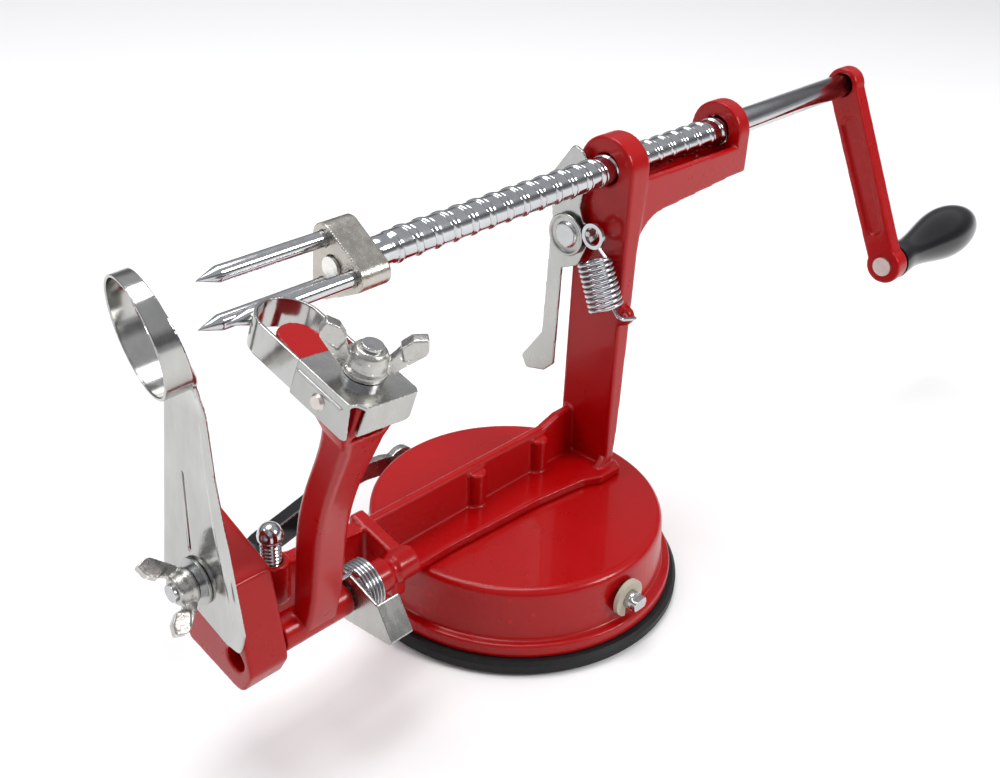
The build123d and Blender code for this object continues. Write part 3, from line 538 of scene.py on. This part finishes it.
def rear_edge(angle):
    """How far back the band reaches at an angle, where a slanting plane ends it."""
    start = ring_point(angle, 0.0)
    return (REAR_POINT - start).dot(REAR_NORMAL) / RING_NORMAL.dot(REAR_NORMAL)


def ring_sheet():
    rows = []
    for i in range(RING_STEPS):
        angle = FULL_TURN * i / RING_STEPS
        width = rear_edge(angle) - RING_FRONT
        rows.append([ring_point(angle, RING_FRONT + width * k / BAND_STEPS) for k in range(BAND_STEPS + 1)])
    return grid(rows, closed=True)


def smooth_path(start, leave, end, arrive, t):
    """A point of the cubic between two points, with its direction and pull at each."""
    return (start * (2 * t ** 3 - 3 * t ** 2 + 1) + leave * (t ** 3 - 2 * t ** 2 + t)
            + end * (3 * t ** 2 - 2 * t ** 3) + arrive * (t ** 3 - t ** 2))


def scoop_sheet():
    """The band's rear edge on the right turns smoothly down into the flat plate."""
    rows = []
    for i in range(SCOOP_STEPS + 1):
        u = i / SCOOP_STEPS
        angle = math.radians(SCOOP_FROM + SCOOP_SWEEP * u)
        start = ring_point(angle, rear_edge(angle) - SCOOP_LAP - SCOOP_LAP_MORE * (1 - u) ** 3)
        end = Vector((PLATE_MIDDLE_X, SCOOP_FOOT_Y + SCOOP_FOOT_WIDTH * u ** 1.3, PLATE_TOP))
        follow = RING_UP * math.cos(angle) - RING_SIDE * math.sin(angle)
        share = min(1.0, SCOOP_TURN * u)
        share = share * share * (3 - 2 * share)
        leave = follow * (1 - share) * FOLLOW_PULL + RING_NORMAL * (share * REAR_PULL_MORE + REAR_PULL)
        arrive = Vector((0, 0, -1)) * (DOWN_PULL - DOWN_PULL_LESS * u)
        rows.append([smooth_path(start, leave, end, arrive, k / FALL_STEPS) for k in range(FALL_STEPS + 1)])
    return grid(rows)


def fold_sheet():
    """The long rib pressed into the plate: a low arch that fades out at both of its ends."""
    rows = []
    for i in range(FOLD_STEPS + 1):
        t = i / FOLD_STEPS
        swell = max(FOLD_END, math.sin(math.pi * t)) ** 0.6
        middle = FOLD_TOP_Y - FOLD_DRIFT * t ** 1.2
        height = FOLD_TOP_Z - FOLD_LENGTH * t
        row = []
        for k in range(FOLD_ACROSS + 1):
            w = 2 * k / FOLD_ACROSS - 1
            rise = FOLD_RISE * swell * math.cos(math.pi / 2 * w) ** 2
            row.append(Vector((PLATE_FRONT_X + FOLD_SUNK - rise, middle + FOLD_HALF * swell * w, height)))
        rows.append(row)
    return grid(rows)


def make_slicer(materials):
    """Coring ring, the sheet that leaves its rear edge, and the plate below with its pressed rib."""
    ring = thickened(ring_sheet(), BAND)
    scoop = thickened(scoop_sheet(), SCOOP_SHEET)
    plate = lower_part("slicer_blade", PLATE_TOP + PLATE_LAP)
    fold = thickened(fold_sheet(), FOLD_SHEET)
    meshes = [ring, scoop, plate, fold]
    fused("slicer_band", meshes, materials["blade"], "slicer_blade", voxel=0.24, passes=4)


# ---------------------------------------------------------------- threaded shaft
SHAFT_Z = 131.0
THREAD_START, THREAD_END = -56.0, 97.0
THREAD_PITCH = 6.8
RUN_OUT = 1.2
ROD, LAND, RIB = 4.12, 4.42, 4.83  # radii
RIB_HALF = 1.0
GROOVE_EDGE, GROOVE_DEPTH = 1.5, 0.16
SHAFT_AROUND, SHAFT_STEP = 72, 0.17
CHAMFER_LENGTH, CHAMFER_DEPTH = 0.5, 0.4
PLAIN_GAP = 0.4


def thread_radius(x, turn):
    """Broad lands with a raised round rib between two fine grooves, once in each pitch."""
    from_rib = ((x - THREAD_START) / THREAD_PITCH - turn + 0.5) % 1.0 - 0.5
    gap = abs(from_rib) * THREAD_PITCH
    if gap < RIB_HALF:
        radius = LAND + (RIB - LAND) * (1 - (gap / RIB_HALF) ** 2) ** 0.5
    elif gap < GROOVE_EDGE:
        radius = LAND - GROOVE_DEPTH * math.sin(math.pi * (gap - RIB_HALF) / (GROOVE_EDGE - RIB_HALF))
    else:
        radius = LAND
    fade = min(1.0, max(0.0, (x - THREAD_START) / RUN_OUT), max(0.0, (THREAD_END - x) / RUN_OUT))
    return ROD + (radius - ROD) * fade


def make_shaft(materials):
    low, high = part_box("drive_shaft")
    start, end = low.x / MM, high.x / MM
    count = int((THREAD_END - THREAD_START) / SHAFT_STEP) + 1
    stations = [start, THREAD_START - PLAIN_GAP]
    stations += [THREAD_START + SHAFT_STEP * i for i in range(count)]
    stations += [THREAD_END + PLAIN_GAP, end - CHAMFER_LENGTH, end]
    rows = []
    for x in stations:
        cut = CHAMFER_DEPTH if x in (start, end) else 0.0
        row = []
        for k in range(SHAFT_AROUND + 1):
            angle = FULL_TURN * k / SHAFT_AROUND
            radius = thread_radius(x, k / SHAFT_AROUND) - cut
            row.append((x, -radius * math.sin(angle), SHAFT_Z + radius * math.cos(angle)))
        rows.append(row)
    mesh = capped(rows, (start, 0, SHAFT_Z), (end, 0, SHAFT_Z))
    finished(linked("threaded_shaft", mesh), materials["chrome"], "drive_shaft")


# ---------------------------------------------------------------- blade clip, in the peeler head's own axes
HEAD_TILT = math.radians(15.0)
HEAD_ROLL = math.radians(7.0)
HEAD_ORIGIN = Vector((-102.2, -11.0, 132.2))
HEAD_RISE = Vector((0, -math.sin(HEAD_TILT), math.cos(HEAD_TILT)))
HEAD_X = Vector((math.cos(HEAD_ROLL), 0, 0)) - HEAD_RISE * math.sin(HEAD_ROLL)
HEAD_Z = HEAD_RISE * math.cos(HEAD_ROLL) + Vector((math.sin(HEAD_ROLL), 0, 0))
HEAD_Y = HEAD_Z.cross(HEAD_X)

CLIP_FRONT, CLIP_BACK = -21.6, -41.1
CLIP_HALF = 9.35
CLIP_TOP = 5.05
CLIP_SHEET = 0.9
FLANGE_TOP = CLIP_TOP - 0.1
SIDE_BOTTOM = CLIP_TOP - 9.1
BACK_BOTTOM = CLIP_TOP - 7.65
BACK_LEFT, BACK_RIGHT = -CLIP_HALF + 3.2, CLIP_HALF - 0.9
STEP_FRONT, STEP_BACK = CLIP_FRONT - 1.0, CLIP_BACK + 4.0
STEP_TOP, STEP_BOTTOM = CLIP_TOP - 2.2, CLIP_TOP - 2.8
STEP_SHEET, STEP_PROUD = 0.5, 0.25


def head_point(x, y, z):
    return HEAD_ORIGIN + HEAD_X * x + HEAD_Y * y + HEAD_Z * z


def clip_top():
    outline = (
        (-CLIP_HALF, CLIP_FRONT), (CLIP_HALF, CLIP_FRONT), (CLIP_HALF, CLIP_BACK + 1.4),
        (BACK_RIGHT, CLIP_BACK), (BACK_LEFT, CLIP_BACK), (-CLIP_HALF + 2.0, CLIP_BACK + 1.9),
        (-CLIP_HALF, CLIP_BACK + 2.6))
    return prism(outline, lambda x, y, z: head_point(x, y, CLIP_TOP - z), CLIP_SHEET)


def clip_side(side):
    flange = (
        (CLIP_FRONT, FLANGE_TOP), (CLIP_BACK + 2.6, FLANGE_TOP), (CLIP_BACK + 1.1, SIDE_BOTTOM + 0.5),
        (CLIP_BACK + 2.2, SIDE_BOTTOM), (CLIP_FRONT, SIDE_BOTTOM))
    return prism(flange, lambda y, z, w: head_point(side * (CLIP_HALF - w), y, z), CLIP_SHEET)


def clip_step(side):
    step = (
        (STEP_FRONT, STEP_TOP), (STEP_BACK, STEP_TOP), (STEP_BACK, STEP_BOTTOM), (STEP_FRONT, STEP_BOTTOM))
    return prism(step, lambda y, z, w: head_point(side * (CLIP_HALF + STEP_PROUD - w), y, z), STEP_SHEET)


def clip_back():
    outline = (
        (BACK_LEFT, FLANGE_TOP), (BACK_RIGHT, FLANGE_TOP), (CLIP_HALF - 0.7, BACK_BOTTOM + 0.65),
        (CLIP_HALF - 1.6, BACK_BOTTOM), (-CLIP_HALF + 2.6, BACK_BOTTOM))
    return prism(outline, lambda x, z, w: head_point(x, CLIP_BACK + w, z), CLIP_SHEET)


def make_clip(materials):
    """Folded cover with open corners between its flanges, and a pressed step along each side."""
    meshes = [clip_top(), clip_side(1), clip_step(1), clip_side(-1), clip_step(-1), clip_back()]
    fused("clip_plate", meshes, materials["plate"], "blade_clip", voxel=0.17, passes=4)


# ---------------------------------------------------------------- wing nuts
NUT_BOSS = (  # radius and height
    (0, 0), (4.6, 0), (5.0, 0.4), (5.0, 1.2), (4.5, 1.6), (4.4, 2.9), (4.0, 4.3), (3.3, 4.9), (0, 4.9))
PADDLE_THICK, TIP_THICK = 2.4, 3.1
SLICER_NUT_SEAT = Vector((-121.5, 1.0, 58.2))
BLADE_NUT_SEAT = head_point(0, -32.2, 6.45)


def wing_outlines(reach, rise):
    """Outlines of one wing and of its swollen tip, which ends at a reach from the axis and at a rise."""
    paddle = (
        (2.4, 0.5), (5.6, 1.2), (reach - 0.2, rise - 4.4), (reach, rise - 3.0),
        (reach - 0.8, rise - 0.2), (reach - 4.0, rise - 1.0), (4.2, 4.5), (2.4, 4.3))
    tip = (
        (reach - 4.6, rise - 6.6), (reach - 0.3, rise - 4.2), (reach, rise - 3.0),
        (reach - 0.9, rise - 0.3), (reach - 4.0, rise - 1.1), (reach - 6.0, rise - 3.4))
    return (paddle, PADDLE_THICK), (tip, TIP_THICK)


def wing_nut(name, node, seat, along, axis, material, reach, rise, boss):
    """Cast nut: a boss scaled in height, and two thick paddles that swell toward their ends."""
    sideways = axis.cross(along)

    def place(x, y, z):
        return seat + along * x + sideways * y + axis * z

    meshes = [lathe([(radius, height * boss) for radius, height in NUT_BOSS], place)]
    for turn in (1, -1):
        for outline, thick in wing_outlines(reach, rise):
            meshes.append(prism(outline, lambda x, z, w: place(turn * x, w - thick / 2, z), thick))
    fused(name, meshes, material, node, voxel=0.2, passes=9)


def make_wing_nuts(materials):
    zinc = materials["zinc_cast"]
    along = Vector((0, 0.75, 0.66)).normalized()
    outward = Vector((-1, 0, 0))
    wing_nut("slicer_nut_cast", "slicer_wing_nut", SLICER_NUT_SEAT, along, outward, zinc,
             reach=10.7, rise=10.5, boss=1.0)
    along = (HEAD_X * 0.78 - HEAD_Y * 0.62).normalized()
    wing_nut("blade_nut_cast", "blade_wing_nut", BLADE_NUT_SEAT, along, HEAD_Z, zinc,
             reach=11.8, rise=12.0, boss=1.35)


# ---------------------------------------------------------------- stop screw and latch dish
STOP_X, STOP_Y = -94.8, 3.2
STOP_DOME = (  # radius and height
    (0, 62.4), (0.9, 62.3), (1.9, 61.85), (2.8, 61.0), (3.35, 59.9), (3.6, 58.6), (3.45, 57.6), (3.0, 56.9),
    (2.6, 56.6))
STOP_THREAD_TOP, STOP_THREAD_BOTTOM = 56.4, 43.0
STOP_RADIUS, STOP_PITCH, STOP_DEPTH = 2.9, 1.15, 0.5
STOP_TIP = ((2.0, 42.6), (0, 42.6))
STEPS_PER_PITCH = 6

DISH_PROFILE = (  # radius and height
    (0, -1.2), (2.0, -1.2), (3.4, -1.0), (4.9, -0.35), (6.1, 0.35), (6.7, 0.45), (6.9, 0.2), (6.6, 0.0),
    (0, 0.0))
DISH_CENTRE = Vector((28.15, 9.9, 108.1))


def thread_profile(top, bottom, radius, pitch, depth):
    """Half a profile of rounded ridges, from the top height down to the bottom one."""
    rise = pitch / STEPS_PER_PITCH
    profile = []
    for i in range(int((top - bottom) / rise) + 1):
        cut = depth * (0.5 - 0.5 * math.cos(FULL_TURN * i / STEPS_PER_PITCH))
        profile.append((radius - cut, top - rise * i))
    return profile


def make_stop_screw(materials):
    """Domed head with a waist over a threaded shank."""
    shank = thread_profile(STOP_THREAD_TOP, STOP_THREAD_BOTTOM, STOP_RADIUS, STOP_PITCH, STOP_DEPTH)
    mesh = lathe([*STOP_DOME, *shank, *STOP_TIP], lambda x, y, z: Vector((STOP_X + x, STOP_Y + y, z)))
    finished(linked("stop_screw_turned", mesh), materials["chrome"], "stop_screw")


def make_latch_dish(materials):
    """Pressed dish round the latch pivot, on the face toward the fork."""
    mesh = lathe(DISH_PROFILE, lambda x, y, z: DISH_CENTRE + Vector((-z, x, y)))
    finished(linked("latch_dish", mesh), materials["plate"], "latch_plate", stands_for=False)


# ---------------------------------------------------------------- fork prongs
PRONG_BACK_X, PRONG_TIP_X = -64.6, -110.6
PRONG_CIRCLE = 7.4
PRONG_RADIUS = 2.1
PRONG_POINT = 5.8
PRONG_COUNT = 3
PRONG_FIRST = 63.5
PRONG_AROUND = 48
SHARP_EDGE = math.radians(30)


def prong_profile():
    length = PRONG_BACK_X - PRONG_TIP_X
    shoulder = length - PRONG_POINT
    return (
        (0, 0), (PRONG_RADIUS, 0), (PRONG_RADIUS, shoulder - 0.25), (PRONG_RADIUS - 0.03, shoulder - 0.05),
        (PRONG_RADIUS - 0.12, shoulder + 0.2), (0.16, length - 0.1), (0.05, length), (0, length))


def make_prongs(materials):
    """Three turned spikes, each with a short sharp cone and a broken shoulder edge."""
    meshes = []
    for prong in range(PRONG_COUNT):
        angle = math.radians(PRONG_FIRST + 360 / PRONG_COUNT * prong)
        out_y, out_z = PRONG_CIRCLE * math.cos(angle), PRONG_CIRCLE * math.sin(angle)
        centre = Vector((PRONG_BACK_X, out_y, SHAFT_Z + out_z))
        meshes.append(lathe(prong_profile(), lambda x, y, z: centre + Vector((-z, x, y)), PRONG_AROUND))
    spikes = linked("fork_spikes", joined("spikes", meshes))
    finished(spikes, materials["chrome"], "fork_prongs")
    edges = spikes.modifiers.new("edges", "EDGE_SPLIT")
    edges.split_angle = SHARP_EDGE
    applied(spikes)


# ---------------------------------------------------------------- springs
COIL_START_X, COIL_END_X = -79.3, -73.5
COIL_TURNS = 5.1
COIL_STEPS = 48
COIL_RADIUS = 7.55
COIL_WIRE = 0.54
PIVOT_Y, PIVOT_Z = -10.9, 38.7
LEG_LENGTH, LEG_SIDE, LEG_RISE = 6.0, 2.2, 1.1
LEG_STEPS = 8


def make_torsion_coil(materials):
    """Tight coil round the arm's pin, with a leg that runs back onto the arm's sleeve."""
    steps = int(COIL_TURNS * COIL_STEPS)
    coil = []
    for i in range(steps + 1):
        share = i / steps
        angle = math.pi / 2 - FULL_TURN * COIL_TURNS * share
        x = COIL_START_X + (COIL_END_X - COIL_START_X) * share
        y, z = PIVOT_Y + COIL_RADIUS * math.cos(angle), PIVOT_Z + COIL_RADIUS * math.sin(angle)
        coil.append(Vector((x, y, z)))
    leg = []
    for i in range(LEG_STEPS):
        bend = math.pi / 2 * i / LEG_STEPS
        back = LEG_LENGTH * math.sin(bend) - LEG_LENGTH
        leg.append(coil[0] + Vector((back, -LEG_SIDE * math.cos(bend), LEG_RISE * math.cos(bend))))
    mesh = tube(leg + coil, COIL_WIRE)
    finished(linked("torsion_coil", mesh), materials["spring"], "torsion_spring")


def make_latch_coil(materials):
    """The extension spring from the latch to the stand, kept in its CAD shape."""
    piece = linked("latch_coil", NODES["latch_spring"].data.copy())
    piece.data.shade_smooth()
    paint(piece, materials["spring"])
    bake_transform(piece)
    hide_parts("latch_spring")


# ---------------------------------------------------------------- suction lever
LEVER_LINE = (  # x, z and half width
    (-3.0, 17.0, 3.6), (-11.0, 19.6, 3.5), (-20.0, 20.8, 3.4), (-31.0, 19.8, 3.3), (-42.0, 17.3, 3.2),
    (-54.0, 14.3, 3.1), (-65.0, 11.8, 3.0))
EYE_X, EYE_Z = -3.0, 17.0
EYE_RADIUS = 6.4
SLEEVE_FIRST = 4
SLEEVE_MARGIN = 1.35


def lever_outline(stations, margin):
    upper = [(x, z + half + margin) for x, z, half in stations]
    lower = [(x, z - half - margin) for x, z, half in stations]
    return upper + lower[::-1]


def make_lever_bar(materials):
    """Arched flat bar with an eye on the axle."""
    low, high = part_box("suction_lever")
    back, depth = high.y / MM, (high.y - low.y) / MM
    bar = prism(lever_outline(LEVER_LINE, 0.0), lambda x, z, w: Vector((x, back - w, z)), depth)
    round_end = ((0, 0), (EYE_RADIUS, 0), (EYE_RADIUS, depth), (0, depth))
    eye = lathe(round_end, lambda x, z, w: Vector((x + EYE_X, back - w, z + EYE_Z)))
    fused("lever_bar", [bar, eye], materials["plate"], "suction_lever", voxel=0.3, passes=6)


def make_lever_sleeve(materials):
    """Soft black sleeve over the lever's free end."""
    low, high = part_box("lever_grip")
    front, thick = low.y / MM, (high.y - low.y) / MM
    end_z, end_half = LEVER_LINE[-1][1] - 0.2, LEVER_LINE[-1][2] - 0.8
    stations = LEVER_LINE[SLEEVE_FIRST:] + ((low.x / MM + 0.3, end_z, end_half),)
    sleeve = prism(lever_outline(stations, SLEEVE_MARGIN), lambda x, z, w: Vector((x, front + w, z)), thick)
    fused("lever_sleeve", [sleeve], materials["black"], "lever_grip", voxel=0.4, passes=14)


# ---------------------------------------------------------------- pieces that keep their CAD shape
ROUNDED = (  # node, new piece, voxel in mm, smoothing passes, material, slot
    ("frame_casting", "casting", 0.45, 8, "enamel", "red_enamel"),
    ("suction_housing", "housing", 0.5, 6, "enamel", "red_enamel"),
    ("crank_arm", "crank", 0.4, 8, "enamel", "red_enamel"),
    ("peeler_arm", "arm_casting", 0.4, 7, "enamel", "red_enamel"),
    ("fork_hub", "hub", 0.22, 7, "nickel", "nickel_cast"),
    ("blade_bolt", "blade_stud", 0.16, 3, "zinc_screw", "zinc_screw"),
    ("slicer_bolt", "slicer_stud", 0.16, 3, "zinc_screw", "zinc_screw"),
    ("slicer_washer", "slicer_flat_washer", 0.14, 3, "plate", "zinc_plate"),
    ("peeler_blade", "peeler_band", 0.18, 2, "blade", "blade_steel"),
    ("latch_plate", "latch_sheet", 0.25, 4, "plate", "zinc_plate"),
    ("arm_lock_plate", "lock_sheet", 0.22, 12, "plate", "zinc_plate"),
    ("lever_axle", "axle_rod", 0.25, 4, "zinc_screw", "zinc_screw"),
)
KEPT = {
    "shaft_rivet": "nickel",
    "housing_screws": "zinc_screw", "cup_stem": "zinc_screw", "grip_pin": "zinc_screw",
    "latch_pivot_screw": "zinc_screw", "arm_pivot_pin": "zinc_screw",
    "crank_rivet": "rivet", "clip_rivets": "rivet",
    "slicer_lock_washer": "spring", "blade_lock_washer": "spring",
    "crank_grip": "black", "axle_clip": "beige", "suction_cup": "rubber",
}


def make_pieces(materials):
    for node, name, voxel, passes, material, slot in ROUNDED:
        rounded(node, name, voxel, passes, materials[material])
    make_slicer(materials)
    make_shaft(materials)
    make_clip(materials)
    make_wing_nuts(materials)
    make_stop_screw(materials)
    make_latch_dish(materials)
    make_latch_coil(materials)
    make_prongs(materials)
    make_torsion_coil(materials)
    make_lever_bar(materials)
    make_lever_sleeve(materials)
    for node, material in KEPT.items():
        paint(NODES[node], materials[material])


make_camera()
make_studio()
make_pieces(make_materials())
